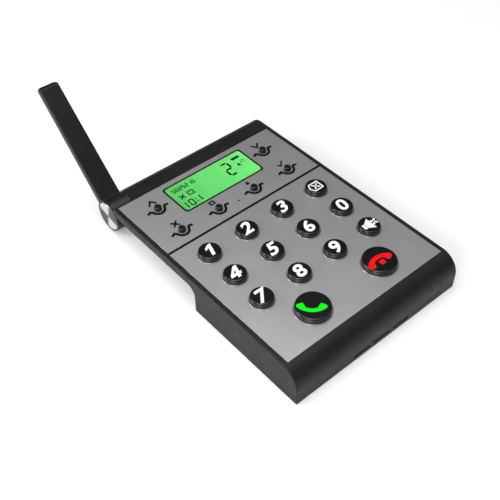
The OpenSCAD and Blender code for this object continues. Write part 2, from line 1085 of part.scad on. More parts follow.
// A hollow key: rounded cap, flange that stops under the deck, and a post that stands on its dome
module push_key(x, y, d, h) {
    r = d / 2;
    top = top_z + h;
    flange_top = deck_under - stop_gap;
    low = flange_top - flange_t;
    color("#1d1d1f")
        translate([x, y, 0])
            rotate_extrude()
                difference() {
                    union() {
                        translate([0, low])
                            square([r, top - key_edge - low]);
                        translate([0, low])
                            square([r - key_edge, top - low]);
                        translate([r - key_edge, top - key_edge])
                            circle(key_edge);
                        translate([0, low])
                            square([r + flange_lip, flange_t]);
                    }
                    translate([post_r, low - over])
                        square([r - key_wall - post_r, top - key_roof - low + over]);
                    translate([0, low - over])
                        square([post_r + over / 2, dome_top + dome_gap - low + over]);
                }
}

module number_key(col, row) {
    push_key(key_x(col), key_y(row), key_d, key_h);
}

module call_key(sx) {
    push_key(sx * call_x, panel_y + call_row, call_d, call_h);
}

// A small solid button with a flange under the deck
module menu_button(col, row) {
    r = menu_d / 2;
    top = top_z + menu_h;
    low = deck_under - stop_gap - menu_flange_t;
    color("#19191b")
        translate([key_x(col), panel_y + row, 0])
            rotate_extrude() {
                translate([0, low])
                    square([r, top - menu_edge - low]);
                translate([0, low])
                    square([r - menu_edge, top - low]);
                translate([r - menu_edge, top - menu_edge])
                    circle(menu_edge);
                translate([0, low])
                    square([r + flange_lip, menu_flange_t]);
            }
}

top_housing();
bottom_cover();
face_panel();
case_screws();
base_feet();
rear_feet();
display_window();
display_glass();
backlight();
display_frame();
zebra_strips();
main_board();
board_chips();
rf_shield();
tact_switches();
keypad_mat();
contact_pills();
microphone();
speaker();
speaker_gasket();
power_jack();
jack_pin();
battery_pack();
battery_contacts();
battery_door();
antenna_blade();
antenna_element();
knuckle_cap();
retaining_clip();
wave_washer();
antenna_cable();
number_key(0, 2);  // key_1
number_key(1, 2);  // key_2
number_key(2, 2);  // key_3
number_key(0, 1);  // key_4
number_key(1, 1);  // key_5
number_key(2, 1);  // key_6
number_key(0, 0);  // key_7
number_key(1, 0);  // key_8
number_key(2, 0);  // key_9
number_key(3, 1);  // key_0
number_key(3, 2);  // key_delete
number_key(3, 0);  // key_mute
call_key(-1);  // key_call
call_key(1);  // key_hangup
menu_button(0, menu_far);  // up_button
menu_button(3, menu_far);  // down_button
menu_button(0, menu_near);  // cancel_button
menu_button(1, menu_near);  // left_button
menu_button(2, menu_near);  // right_button
menu_button(3, menu_near);  // ok_button
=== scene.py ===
"""Looks for the desk paging transmitter: materials on the CAD pieces, the printed marks on the panel
and the keys, the characters on the display, and a plain studio. Lengths are in metres."""
import math

import bmesh
import bpy
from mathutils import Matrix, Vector
from mathutils.geometry import tessellate_polygon


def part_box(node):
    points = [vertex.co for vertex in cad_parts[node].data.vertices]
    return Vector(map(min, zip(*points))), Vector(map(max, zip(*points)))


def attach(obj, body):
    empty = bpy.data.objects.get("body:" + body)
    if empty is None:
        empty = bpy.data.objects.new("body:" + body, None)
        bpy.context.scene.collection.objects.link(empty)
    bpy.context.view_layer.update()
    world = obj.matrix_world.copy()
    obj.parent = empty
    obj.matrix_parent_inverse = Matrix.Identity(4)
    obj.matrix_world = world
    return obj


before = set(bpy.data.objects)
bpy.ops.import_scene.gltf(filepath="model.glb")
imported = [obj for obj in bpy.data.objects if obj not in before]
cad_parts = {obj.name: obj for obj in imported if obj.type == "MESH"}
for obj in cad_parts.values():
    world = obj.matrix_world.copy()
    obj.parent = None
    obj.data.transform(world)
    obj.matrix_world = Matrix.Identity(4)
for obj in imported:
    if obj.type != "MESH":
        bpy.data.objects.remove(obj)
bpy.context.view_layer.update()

MM = 0.001

# Places taken from the CAD pieces
PANEL_LOW, PANEL_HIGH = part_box("face_panel")
WINDOW_LOW, WINDOW_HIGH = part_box("display_window")
GLASS_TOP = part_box("display_glass")[1].z
PANEL_TOP = PANEL_HIGH.z

# Printed marks
INK = 0.04 * MM              # thickness of a printed mark
SINK = 0.015 * MM            # how far it reaches into the surface, so that no gap shows
DIGIT_HEIGHT = 8.6 * MM
DIGIT_WIDE = 1.1             # its width, as a multiple of the built-in font's
DIGIT_LEAN = 0.3             # how far a digit's top leans to the right, as a share of its height
ROUND_LEAN = 0.1             # the same for the round digits
ROUND_DIGITS = (0, 6, 8, 9)
DIGIT_BOLD = 0.03            # how far the strokes of a digit are fattened, as a share of its height
DRAWN_HEIGHT = 0.93          # height of the digits drawn here, as a share of the others'
LINE = 1.4 * MM              # width of the lines printed on the panel
SMILE_RADIUS = 3.9 * MM      # the line that curls round a menu button
SMILE_END = 7.1 * MM
SMILE_WING = 0.5 * MM        # how far each end of it bends towards the front
SMILE_SHOULDER = 0.9 * MM    # from its half circle to the bend
MARK_ABOVE = 6.3 * MM        # from a menu button's centre to the mark behind it
DIVIDER_FRONT = 91.65 * MM   # the groove across the panel, from its front edge
DIVIDER_BACK = 92.95 * MM
DIVIDER_DEEP = 0.3 * MM
INLAY_INSET = 0.02 * MM      # from the ends of the groove to the dark strip in it
INLAY_BELOW = 0.05 * MM      # from the panel's surface down to the strip
HOLE_SHADE_RADIUS = 0.48 * MM       # radius of the black disc in the sound hole over the microphone, a painted shade for the dark hole
HOLE_SHADE_TOP = 0.06 * MM         # its depth under the panel's surface
HOLE_SHADE_BOTTOM = 0.35 * MM

# Display
BORDER = 1.0 * MM
BORDER_CORNER = 2.4 * MM
LCD_GAP = 0.01 * MM          # from the glass to the characters, which lie under the window
LCD_THICK = 0.02 * MM

# Looks
REFLECTION_SECTOR_ANGLE = math.radians(58)  # of the pale sectors of the painted reflection on the disc, up from the back
SLOPE_MIDDLE = 0.7           # upward part of the normal of a face that slopes about halfway
SLOPE_RANGE = 0.2

# Studio
SKY = ((0.0, 0.34), (0.4, 0.2), (0.74, 0.2), (0.87, 1.2), (1.0, 1.5))  # height and brightness
DARK_SIDE = (0.65, 0.76, 0)  # the way to the side of the sky that is dimmed
DARK_SHADE = 0.35
FLOOR_GLOW = 0.2             # how much light the floor adds to itself, seen by the camera


# ---------------------------------------------------------------- camera

def make_camera():
    """The camera of the reference view: the aim point lies on the panel."""
    aim = Vector((-20.8 * MM, PANEL_LOW.y + 66.63 * MM, PANEL_TOP))
    distance = 434.3 * MM
    azimuth = math.radians(-40.88)
    elevation = math.radians(45.97)
    back = Vector((
        math.sin(azimuth) * math.cos(elevation),
        -math.cos(azimuth) * math.cos(elevation),
        math.sin(elevation),
    ))
    data = bpy.data.cameras.new("camera")
    data.sensor_width = 36
    data.lens = 59.18
    data.clip_start = 0.01
    camera = bpy.data.objects.new("camera", data)
    camera.location = aim + back * distance
    camera.rotation_euler = back.to_track_quat("Z", "Y").to_euler()
    bpy.context.scene.collection.objects.link(camera)
    bpy.context.scene.camera = camera


# ---------------------------------------------------------------- materials

class Graph:
    """One material's node tree. Texture sizes are in millimetres of the object."""

    def __init__(self, name):
        self.material = bpy.data.materials.new(name)
        self.material.use_nodes = True
        self.tree = self.material.node_tree
        self.shader = self.tree.nodes["Principled BSDF"]
        self.place = self.add("ShaderNodeTexCoord").outputs["Object"]

    def add(self, kind, **settings):
        node = self.tree.nodes.new(kind)
        for name, value in settings.items():
            setattr(node, name, value)
        return node

    def join(self, output, socket):
        self.tree.links.new(output, socket)

    def set(self, **values):
        """Sets constants on the shader's own sockets: a name's underscores stand for spaces."""
        for name, value in values.items():
            self.shader.inputs[name.replace("_", " ")].default_value = value
        return self

    def stretched(self, stretch):
        """The object's own coordinates, scaled along each axis."""
        mapping = self.add("ShaderNodeMapping")
        mapping.inputs["Scale"].default_value = stretch
        self.join(self.place, mapping.inputs["Vector"])
        return mapping.outputs["Vector"]

    def noise(self, size, detail=2.0, stretch=(1, 1, 1)):
        """Soft blotches about size millimetres across, finer along the stretched axes."""
        node = self.add("ShaderNodeTexNoise")
        node.inputs["Scale"].default_value = 1 / (size * MM)
        node.inputs["Detail"].default_value = detail
        self.join(self.stretched(stretch), node.inputs["Vector"])
        return node.outputs["Fac"]

    def cells(self, size, feature="F1"):
        """The distance from cells about size millimetres across."""
        node = self.add("ShaderNodeTexVoronoi", feature=feature)
        node.inputs["Scale"].default_value = 1 / (size * MM)
        self.join(self.place, node.inputs["Vector"])
        return node.outputs["Distance"]

    def spread(self, value, low, high, to_low, to_high):
        """A value's range from low to high, mapped to another range and cut off at its ends."""
        node = self.add("ShaderNodeMapRange")
        for name, number in zip(("From Min", "From Max", "To Min", "To Max"), (low, high, to_low, to_high)):
            node.inputs[name].default_value = number
        self.join(value, node.inputs["Value"])
        return node.outputs["Result"]

    def blend(self, factor, first, second):
        """A colour between two colours, each given as three numbers or as another node's output."""
        node = self.add("ShaderNodeMix", data_type="RGBA")
        self.join(factor, node.inputs["Factor"])
        for socket, colour in ((node.inputs[6], first), (node.inputs[7], second)):
            if isinstance(colour, tuple):
                socket.default_value = (*colour, 1)
            else:
                self.join(colour, socket)
        return node.outputs[2]

    def soft_edges(self, radius):
        """Rounds the shading of sharp edges, and returns how far each point is on such an edge."""
        bevel = self.add("ShaderNodeBevel", samples=4)
        bevel.inputs["Radius"].default_value = radius * MM
        flat = self.add("ShaderNodeNewGeometry")
        facing = self.add("ShaderNodeVectorMath", operation="DOT_PRODUCT")
        self.join(bevel.outputs["Normal"], facing.inputs[0])
        self.join(flat.outputs["Normal"], facing.inputs[1])
        self.edge_normal = bevel.outputs["Normal"]
        return self.spread(facing.outputs["Value"], 0.75, 0.98, 1, 0)

    def sloping(self):
        """1 on faces that lean about halfway between level and upright, and 0 on all others: the faces that
        get a painted shade.
        """
        flat = self.add("ShaderNodeNewGeometry")
        parts = self.add("ShaderNodeSeparateXYZ")
        self.join(flat.outputs["True Normal"], parts.inputs["Vector"])
        close = self.add("ShaderNodeMath", operation="COMPARE")
        close.inputs[1].default_value = SLOPE_MIDDLE
        close.inputs[2].default_value = SLOPE_RANGE
        self.join(parts.outputs["Z"], close.inputs[0])
        return close.outputs["Value"]

    def bump(self, height, depth, under=None):
        """A normal for a relief of some depth in millimetres, on top of another normal."""
        node = self.add("ShaderNodeBump")
        node.inputs["Distance"].default_value = depth * MM
        self.join(height, node.inputs["Height"])
        if under is not None:
            self.join(under, node.inputs["Normal"])
        return node.outputs["Normal"]

    def finish(self, colour, rough, normal):
        """Wires the shader, and returns the material."""
        self.join(colour, self.shader.inputs["Base Color"])
        self.join(rough, self.shader.inputs["Roughness"])
        self.join(normal, self.shader.inputs["Normal"])
        return self.material


def moulded(name, dark, light, edge_wear_and_highlight, rough, grain=0.28, depth=0.012, edge=0.3, specular=0.5):
    """Moulded plastic: spark-eroded grain, faint blotches, and paler, smoother edges; the paler edges are
    partly wear and partly a painted highlight.
    """
    g = Graph(name)
    g.set(Specular_IOR_Level=specular)
    edges = g.soft_edges(edge)
    blotch = g.noise(14, 4)
    colour = g.blend(g.spread(blotch, 0.35, 0.65, 0, 1), dark, light)
    # paler edges: wear, and where the edge colour is bright, as on the antenna blade, a painted highlight
    wear_and_highlight_mask = g.add("ShaderNodeMath", operation="MULTIPLY")
    g.join(edges, wear_and_highlight_mask.inputs[0])
    g.join(g.spread(g.noise(1.6, 3), 0.4, 0.7, 0.15, 1), wear_and_highlight_mask.inputs[1])
    colour = g.blend(wear_and_highlight_mask.outputs["Value"], colour, edge_wear_and_highlight)
    roughness = g.spread(g.noise(6, 5), 0.3, 0.7, rough - 0.06, rough + 0.06)
    pits = g.bump(g.cells(grain), depth, g.edge_normal)
    normal = g.bump(g.noise(grain * 2.3, 3), depth * 0.8, pits)
    return g.finish(colour, roughness, normal)


def glossy(name, dark, light, rough, edge=0.25):
    """Smooth moulded plastic with a little orange peel and fine dust in its gloss."""
    g = Graph(name)
    edges = g.soft_edges(edge)
    colour = g.blend(g.spread(g.noise(5, 3), 0.35, 0.65, 0, 1), dark, light)
    colour = g.blend(g.spread(edges, 0, 1, 0, 0.5), colour, tuple(3 * part for part in light))
    dust = g.noise(0.5, 5)
    roughness = g.spread(dust, 0.35, 0.75, rough, rough + 0.14)
    normal = g.bump(g.noise(1.3, 2), 0.006, g.edge_normal)
    return g.finish(colour, roughness, normal)


def satin_metal(name, dark, light, rough, grain=(1, 1, 1), depth=0.004, metallic=1.0, slope_shade=None):
    """Rolled sheet with a fine grain and faint stains; its edges get a painted highlight, and the last
    argument is a painted shade colour for its leaning faces.
    """
    g = Graph(name)
    g.set(Metallic=metallic)
    edges = g.soft_edges(0.12)
    lines = g.noise(0.9, 6, grain)
    stain = g.noise(22, 5)
    colour = g.blend(g.spread(stain, 0.3, 0.7, 0, 1), dark, light)
    colour = g.blend(g.spread(lines, 0.3, 0.7, 0, 0.35), colour, tuple(0.82 * part for part in dark))
    # painted highlight: edges painted paler than the sheet, for the light line along them
    colour = g.blend(g.spread(edges, 0, 1, 0, 0.7), colour, tuple(min(1, 1.12 * part) for part in light))
    if slope_shade is not None:
        # painted shade: leaning faces, such as the lips round the key holes, painted dark
        colour = g.blend(g.sloping(), colour, slope_shade)
    roughness = g.spread(lines, 0.25, 0.75, rough - 0.05, rough + 0.07)
    normal = g.bump(lines, depth, g.edge_normal)
    return g.finish(colour, roughness, normal)


def turned_fan(g, axis):
    """The two pale sectors of the reflection painted on the disc: 1 along them, and -1 across."""
    apart = g.add("ShaderNodeSeparateXYZ")
    centred = g.add("ShaderNodeVectorMath", operation="SUBTRACT")
    centred.inputs[1].default_value = axis
    g.join(g.place, centred.inputs[0])
    g.join(centred.outputs["Vector"], apart.inputs["Vector"])
    angle = g.add("ShaderNodeMath", operation="ARCTAN2")
    g.join(apart.outputs["Z"], angle.inputs[0])
    g.join(apart.outputs["Y"], angle.inputs[1])
    doubled = g.add("ShaderNodeMath", operation="MULTIPLY_ADD")
    doubled.inputs[1].default_value = 2
    doubled.inputs[2].default_value = -2 * REFLECTION_SECTOR_ANGLE
    g.join(angle.outputs["Value"], doubled.inputs[0])
    wave = g.add("ShaderNodeMath", operation="COSINE")
    g.join(doubled.outputs["Value"], wave.inputs[0])
    return wave.outputs["Value"]


def turned_chrome(name):
    """A polished disc with fine turned rings, which draw the highlights out into rays; its pale and dark
    sectors are a painted reflection in its colour.
    """
    g = Graph(name)
    g.set(Metallic=1.0, Anisotropic=0.85)
    low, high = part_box("knuckle_cap")
    axis = (low + high) / 2
    from_axis = g.add("ShaderNodeVectorMath", operation="DISTANCE")
    flat = g.add("ShaderNodeVectorMath", operation="MULTIPLY")
    flat.inputs[1].default_value = (0, 1, 1)
    g.join(g.place, flat.inputs[0])
    g.join(flat.outputs["Vector"], from_axis.inputs[0])
    from_axis.inputs[1].default_value = (0, axis.y, axis.z)
    rings = g.add("ShaderNodeTexNoise", noise_dimensions="1D")
    rings.inputs["Scale"].default_value = 1 / (0.16 * MM)
    rings.inputs["Detail"].default_value = 3
    g.join(from_axis.outputs["Value"], rings.inputs["W"])
    edges = g.soft_edges(0.2)
    ring = rings.outputs["Fac"]
    # painted reflection: pale and dark sectors painted into the colour by the angle round the axis
    reflection_sectors = g.spread(turned_fan(g, axis), -0.35, 0.5, 0, 1)
    pale = g.blend(g.spread(ring, 0.3, 0.7, 0, 1), (0.66, 0.67, 0.68), (0.88, 0.88, 0.88))
    deep = g.blend(g.spread(ring, 0.3, 0.7, 0, 1), (0.03, 0.03, 0.038), (0.075, 0.075, 0.085))
    colour = g.blend(reflection_sectors, deep, pale)
    colour = g.blend(edges, colour, (0.5, 0.5, 0.5))
    roughness = g.spread(ring, 0.3, 0.7, 0.16, 0.26)
    tangent = g.add("ShaderNodeTangent", direction_type="RADIAL", axis="X")
    g.join(tangent.outputs["Tangent"], g.shader.inputs["Tangent"])
    return g.finish(colour, roughness, g.bump(ring, 0.004, g.edge_normal))


def rubber(name, dark, light, rough=0.75):
    """Matt rubber: a sandy skin with mould dust."""
    g = Graph(name)
    g.set(Specular_IOR_Level=0.3, Sheen_Weight=0.15)
    colour = g.blend(g.spread(g.noise(2.5, 6), 0.35, 0.65, 0, 1), dark, light)
    roughness = g.spread(g.noise(1.2, 4), 0.3, 0.7, rough - 0.1, rough + 0.1)
    return g.finish(colour, roughness, g.bump(g.noise(0.35, 5), 0.03))


def foam(name, dark, light):
    """Open-cell foam."""
    g = Graph(name)
    g.set(Specular_IOR_Level=0.1)
    pores = g.cells(0.5)
    colour = g.blend(g.spread(pores, 0, 0.8, 0, 1), dark, light)
    roughness = g.spread(g.noise(2, 3), 0.3, 0.7, 0.85, 1)
    return g.finish(colour, roughness, g.bump(pores, 0.15))


def circuit_board(name):
    """Green solder mask over copper tracks, with an uneven sheen."""
    g = Graph(name)
    tracks = g.cells(2.4, "DISTANCE_TO_EDGE")
    mask = g.spread(tracks, 0.03, 0.05, 1, 0)
    colour = g.blend(mask, (0.008, 0.07, 0.025), (0.03, 0.18, 0.06))
    roughness = g.spread(g.noise(1.5, 4), 0.3, 0.7, 0.28, 0.42)
    return g.finish(colour, roughness, g.bump(mask, 0.02))


def striped(name):
    """Strips of conducting and clear rubber in turn along X."""
    g = Graph(name)
    wave = g.add("ShaderNodeTexWave", bands_direction="X")
    wave.inputs["Scale"].default_value = 1 / (0.9 * MM) / math.tau
    g.join(g.place, wave.inputs["Vector"])
    colour = g.blend(g.spread(wave.outputs["Fac"], 0.4, 0.6, 0, 1), (0.02, 0.02, 0.02), (0.75, 0.35, 0.4))
    roughness = g.spread(g.noise(1, 3), 0.3, 0.7, 0.5, 0.7)
    return g.finish(colour, roughness, g.bump(wave.outputs["Fac"], 0.01))


def wrapped(name):
    """Heat-shrink film round the battery: creases and a soft gloss."""
    g = Graph(name)
    g.set(Coat_Weight=0.4, Coat_Roughness=0.2)
    creases = g.noise(5, 6, (1, 3, 1))
    colour = g.blend(g.spread(creases, 0.3, 0.7, 0, 1), (0.02, 0.09, 0.3), (0.04, 0.14, 0.42))
    roughness = g.spread(g.noise(1.4, 4), 0.3, 0.7, 0.3, 0.45)
    return g.finish(colour, roughness, g.bump(creases, 0.12))


def window_plastic(name):
    """Clear hard-coated acrylic with faint handling marks in its gloss."""
    g = Graph(name)
    g.set(Transmission_Weight=1.0, IOR=1.49)
    haze = g.noise(9, 5)
    colour = g.blend(g.spread(haze, 0.3, 0.7, 0, 1), (0.97, 1.0, 0.97), (1.0, 1.0, 1.0))
    roughness = g.spread(haze, 0.4, 0.75, 0.0, 0.05)
    return g.finish(colour, roughness, g.bump(g.noise(18, 2), 0.004))


def lit_display(name):
    """The lit liquid-crystal cell: green, brighter to the right, with a fine matrix of cells."""
    g = Graph(name)
    g.set(Roughness=0.5, Specular_IOR_Level=0.2, Emission_Strength=1.0)
    along = g.add("ShaderNodeSeparateXYZ")
    g.join(g.place, along.inputs["Vector"])
    across = g.spread(along.outputs["X"], WINDOW_LOW.x, WINDOW_HIGH.x, 0, 1)
    glow = g.blend(across, (0.095, 0.51, 0.11), (0.19, 0.88, 0.21))
    patches = g.spread(g.noise(12, 3), 0.35, 0.7, 0, 0.35)
    glow = g.blend(patches, glow, (0.14, 0.72, 0.17))
    dots = g.add("ShaderNodeTexBrick", offset=0.0)
    dots.inputs["Scale"].default_value = 1 / (1.2 * MM)
    dots.inputs["Mortar Size"].default_value = 0.02
    dots.inputs["Color1"].default_value = (1, 1, 1, 1)
    dots.inputs["Color2"].default_value = (0.97, 0.97, 0.97, 1)
    dots.inputs["Mortar"].default_value = (0.9, 0.93, 0.9, 1)
    g.join(g.place, dots.inputs["Vector"])
    matrix = g.add("ShaderNodeMix", data_type="RGBA", blend_type="MULTIPLY")
    matrix.inputs["Factor"].default_value = 1
    g.join(glow, matrix.inputs[6])
    g.join(dots.outputs["Color"], matrix.inputs[7])
    g.join(matrix.outputs[2], g.shader.inputs["Emission Color"])
    g.join(g.blend(patches, (0.03, 0.16, 0.04), (0.04, 0.2, 0.05)), g.shader.inputs["Base Color"])
    return g.material


def ink(name, thin, full, rough=0.5):
    """Printed ink: nearly even, thinner in tiny specks, with a slightly raised, uneven skin."""
    g = Graph(name)
    g.set(Specular_IOR_Level=0.12)
    specks = g.noise(0.25, 4)
    colour = g.blend(g.spread(specks, 0.3, 0.5, 0, 1), thin, full)
    roughness = g.spread(g.noise(0.8, 3), 0.3, 0.7, rough - 0.08, rough + 0.08)
    return g.finish(colour, roughness, g.bump(specks, 0.004))


def make_materials():
    """Every material, and the CAD pieces that wear it."""
    tin = satin_metal("tin_plate", (0.5, 0.5, 0.49), (0.68, 0.68, 0.66), 0.32)
    steel = satin_metal("zinc_plated_steel", (0.42, 0.42, 0.43), (0.6, 0.6, 0.6), 0.3, (1, 1, 6))
    gold = satin_metal("gold_plate", (0.7, 0.45, 0.14), (0.85, 0.6, 0.22), 0.25)
    black = moulded("black_housing", (0.005, 0.005, 0.0055), (0.008, 0.008, 0.0085),
                    (0.026, 0.026, 0.027), 0.46, specular=0.36)
    # the antenna's bright edge colour is a painted highlight: a light line along the blade's edges
    antenna = moulded("antenna_plastic", (0.005, 0.005, 0.0055), (0.008, 0.008, 0.0085),
                      (0.24, 0.24, 0.242), 0.34, 0.22, 0.008, 0.45, specular=0.4)
    inner = moulded("inner_plastic", (0.25, 0.25, 0.24), (0.32, 0.32, 0.3), (0.4, 0.4, 0.38), 0.5)
    chips = moulded("chip_resin", (0.012, 0.012, 0.013), (0.02, 0.02, 0.02), (0.05, 0.05, 0.05), 0.6)
    key = glossy("key_plastic", (0.0035, 0.0035, 0.004), (0.005, 0.005, 0.0055), 0.16, 0.4)
    button = glossy("button_plastic", (0.003, 0.003, 0.003), (0.005, 0.005, 0.005), 0.28, 0.2)
    diffuser = glossy("light_guide", (0.7, 0.75, 0.7), (0.8, 0.85, 0.8), 0.35)
    sleeve = glossy("cable_sleeve", (0.012, 0.012, 0.012), (0.02, 0.02, 0.02), 0.4)
    worn_by = {
        black: ["top_housing", "bottom_cover", "battery_door"],
        # the lips round the key holes get a painted shade
        satin_metal("satin_panel", (0.60, 0.60, 0.60), (0.68, 0.68, 0.68), 0.38, (1, 9, 1), 0.003, 0.9,
                    slope_shade=(0.2, 0.2, 0.2)):
            ["face_panel"],
        antenna: ["antenna_blade"],
        turned_chrome("turned_chrome"): ["knuckle_cap"],
        steel: ["case_screws", "retaining_clip", "wave_washer", "jack_pin"],
        tin: ["rf_shield"],
        gold: ["battery_contacts", "antenna_element"],
        rubber("foot_rubber", (0.012, 0.012, 0.012), (0.022, 0.022, 0.022)): ["base_feet", "rear_feet"],
        rubber("mat_rubber", (0.3, 0.3, 0.29), (0.4, 0.4, 0.38), 0.6): ["keypad_mat"],
        rubber("carbon_pill", (0.006, 0.006, 0.006), (0.012, 0.012, 0.012), 0.9): ["contact_pills"],
        window_plastic("window_plastic"): ["display_window"],
        lit_display("lit_display"): ["display_glass"],
        diffuser: ["backlight"],
        inner: ["display_frame"],
        striped("zebra_rubber"): ["zebra_strips"],
        circuit_board("solder_mask"): ["main_board"],
        chips: ["board_chips", "tact_switches", "microphone"],
        moulded("socket_plastic", (0.012, 0.012, 0.012), (0.018, 0.018, 0.018), (0.04, 0.04, 0.04), 0.5):
            ["power_jack"],
        moulded("speaker_cone", (0.02, 0.02, 0.02), (0.03, 0.03, 0.03), (0.06, 0.06, 0.06), 0.8):
            ["speaker"],
        foam("gasket_foam", (0.008, 0.008, 0.008), (0.03, 0.03, 0.03)): ["speaker_gasket"],
        wrapped("battery_wrap"): ["battery_pack"],
        sleeve: ["antenna_cable"],
        key: [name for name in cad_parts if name.startswith("key_")],
        button: [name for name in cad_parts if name.endswith("_button")],
    }
    for material, names in worn_by.items():
        for name in names:
            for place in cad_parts[name].material_slots:
                place.material = material
    dressed = {name for names in worn_by.values() for name in names}
    bare = sorted(set(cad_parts) - dressed)
    if bare:
        raise ValueError(f"no material for {bare}")


# ---------------------------------------------------------------- outlines

def rounded(points, radius, steps=5):
    """A closed outline with its corners rounded."""
    out = []
    for i, corner in enumerate(points):
        corner = Vector(corner)
        ends = []
        for other in (points[i - 1], points[(i + 1) % len(points)]):
            side = Vector(other) - corner
            ends.append(corner + side.normalized() * min(radius, side.length / 2))
        for step in range(steps + 1):
            t = step / steps
            spot = ends[0] * (1 - t) ** 2 + corner * 2 * t * (1 - t) + ends[1] * t ** 2
            out.append((spot.x, spot.y))
    return out


def rectangle(low_x, low_y, high_x, high_y):
    """The outline of a rectangle between two corners."""
    return [(low_x, low_y), (high_x, low_y), (high_x, high_y), (low_x, high_y)]


def arc(centre, radius, start, end, steps=16):
    """Points along an arc, from one angle to another in degrees."""
    angles = [math.radians(start + (end - start) * i / steps) for i in range(steps + 1)]
    return [(centre[0] + radius * math.cos(a), centre[1] + radius * math.sin(a)) for a in angles]


def ribbon(path, width):
    """The closed outline of an open line of even width."""
    spots = [Vector(p) for p in path]
    left, right = [], []
    for i, spot in enumerate(spots):
        before = (spot - spots[i - 1]).normalized() if i else None
        after = (spots[i + 1] - spot).normalized() if i + 1 < len(spots) else None
        way = ((before or after) + (after or before)).normalized()
        across = Vector((-way.y, way.x))
        lean = across.dot(Vector((-(after or before).y, (after or before).x)))
        offset = across * (width / 2 / max(lean, 0.4))
        left.append(tuple(spot + offset))
        right.append(tuple(spot - offset))
    return left + right[::-1]


def moved(points, x, y, turn=0.0, grow=1.0):
    """An outline scaled, turned by an angle in degrees and moved."""
    c, s = math.cos(math.radians(turn)) * grow, math.sin(math.radians(turn)) * grow
    return [(x + c * px - s * py, y + s * px + c * py) for px, py in points]


def plate(name, shapes, low, high, body, material):
    """A piece made of flat shapes, each a list of closed outlines: the outer one, then its holes."""
    bm = bmesh.new()
    for loops in shapes:
        rings = [[Vector((x, y, 0)) for x, y in loop] for loop in loops]
        spots = [spot for ring in rings for spot in ring]
        lower = [bm.verts.new((spot.x, spot.y, low)) for spot in spots]
        upper = [bm.verts.new((spot.x, spot.y, high)) for spot in spots]
        for a, b, c in tessellate_polygon([[spot / MM for spot in ring] for ring in rings]):
            bm.faces.new((upper[a], upper[b], upper[c]))
            bm.faces.new((lower[c], lower[b], lower[a]))
        start = 0
        for ring in rings:
            for i in range(len(ring)):
                a, b = start + i, start + (i + 1) % len(ring)
                bm.faces.new((lower[a], lower[b], upper[b], upper[a]))
            start += len(ring)
    bmesh.ops.recalc_face_normals(bm, faces=bm.faces)
    mesh = bpy.data.meshes.new(name)
    bm.to_mesh(mesh)
    bm.free()
    return add_piece(name, mesh, body, material)


def add_piece(name, mesh, body, material):
    """A new object that wears a material and rides on a body."""
    mesh.materials.append(material)
    piece = bpy.data.objects.new(name, mesh)
    bpy.context.scene.collection.objects.link(piece)
    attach(piece, body)
    return piece


# ---------------------------------------------------------------- marks on the keys

def top_of(node):
    """The middle of a piece's top."""
    low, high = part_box(node)
    return (low.x + high.x) / 2, (low.y + high.y) / 2, high.z


# A "1" with a flag and a closed "4", drawn at the scale of the built-in font's other digits
DRAWN_DIGITS = {
    1: [
        [(0.22, 0), (0.33, 0), (0.33, 0.69), (0.24, 0.69), (0.05, 0.56), (0.05, 0.46), (0.22, 0.55)],
    ],
    4: [
        [(0.33, 0), (0.44, 0), (0.44, 0.15), (0.53, 0.15), (0.53, 0.25), (0.44, 0.25), (0.44, 0.69),
         (0.31, 0.69), (0.02, 0.25), (0.02, 0.15), (0.33, 0.15)],
        [(0.33, 0.25), (0.33, 0.56), (0.12, 0.25)],
    ],
}
LEAST_STEP = 0.004           # shorter steps along a digit's outline are left out


def outlines(digit):
    """The closed outlines of one digit of the plain built-in font, about one unit high."""
    font = bpy.data.curves.new("glyph", "FONT")
    font.body = str(digit)
    font.fill_mode = "NONE"
    font.size = 1
    font.resolution_u = 6
    shaped = bpy.data.objects.new("glyph", font)
    bpy.context.scene.collection.objects.link(shaped)
    bpy.context.view_layer.update()
    mesh = bpy.data.meshes.new_from_object(shaped.evaluated_get(bpy.context.evaluated_depsgraph_get()))
    bpy.data.objects.remove(shaped)
    neighbours = {}
    for edge in mesh.edges:
        a, b = edge.vertices
        neighbours.setdefault(a, []).append(b)
        neighbours.setdefault(b, []).append(a)
    loops, left = [], set(neighbours)
    while left:
        start = min(left)
        loop, before, here = [], None, start
        while here in left:
            left.discard(here)
            loop.append(Vector(mesh.vertices[here].co[:2]))
            onward = [n for n in neighbours[here] if n != before]
            before, here = here, onward[0]
        loops.append([spot for i, spot in enumerate(loop) if (spot - loop[i - 1]).length > LEAST_STEP])
    bpy.data.meshes.remove(mesh)
    return sorted(loops, key=lambda loop: -abs(area(loop)))


def area(loop):
    """Twice the signed area of a closed outline."""
    return sum(a[0] * b[1] - b[0] * a[1] for a, b in zip(loop, loop[1:] + loop[:1]))


def grown(loop, distance):
    """A closed outline moved outward by a small distance, or inward if it is negative."""
    turn = 1 if area(loop) > 0 else -1
    out = []
    for i, spot in enumerate(loop):
        before = (spot - loop[i - 1]).normalized()
        after = (loop[(i + 1) % len(loop)] - spot).normalized()
        across = (before + after).normalized()
        outward = Vector((across.y, -across.x)) * turn
        lean = max(outward.dot(Vector((before.y, -before.x)) * turn), 0.5)
        out.append(spot + outward * (distance / lean))
    return out


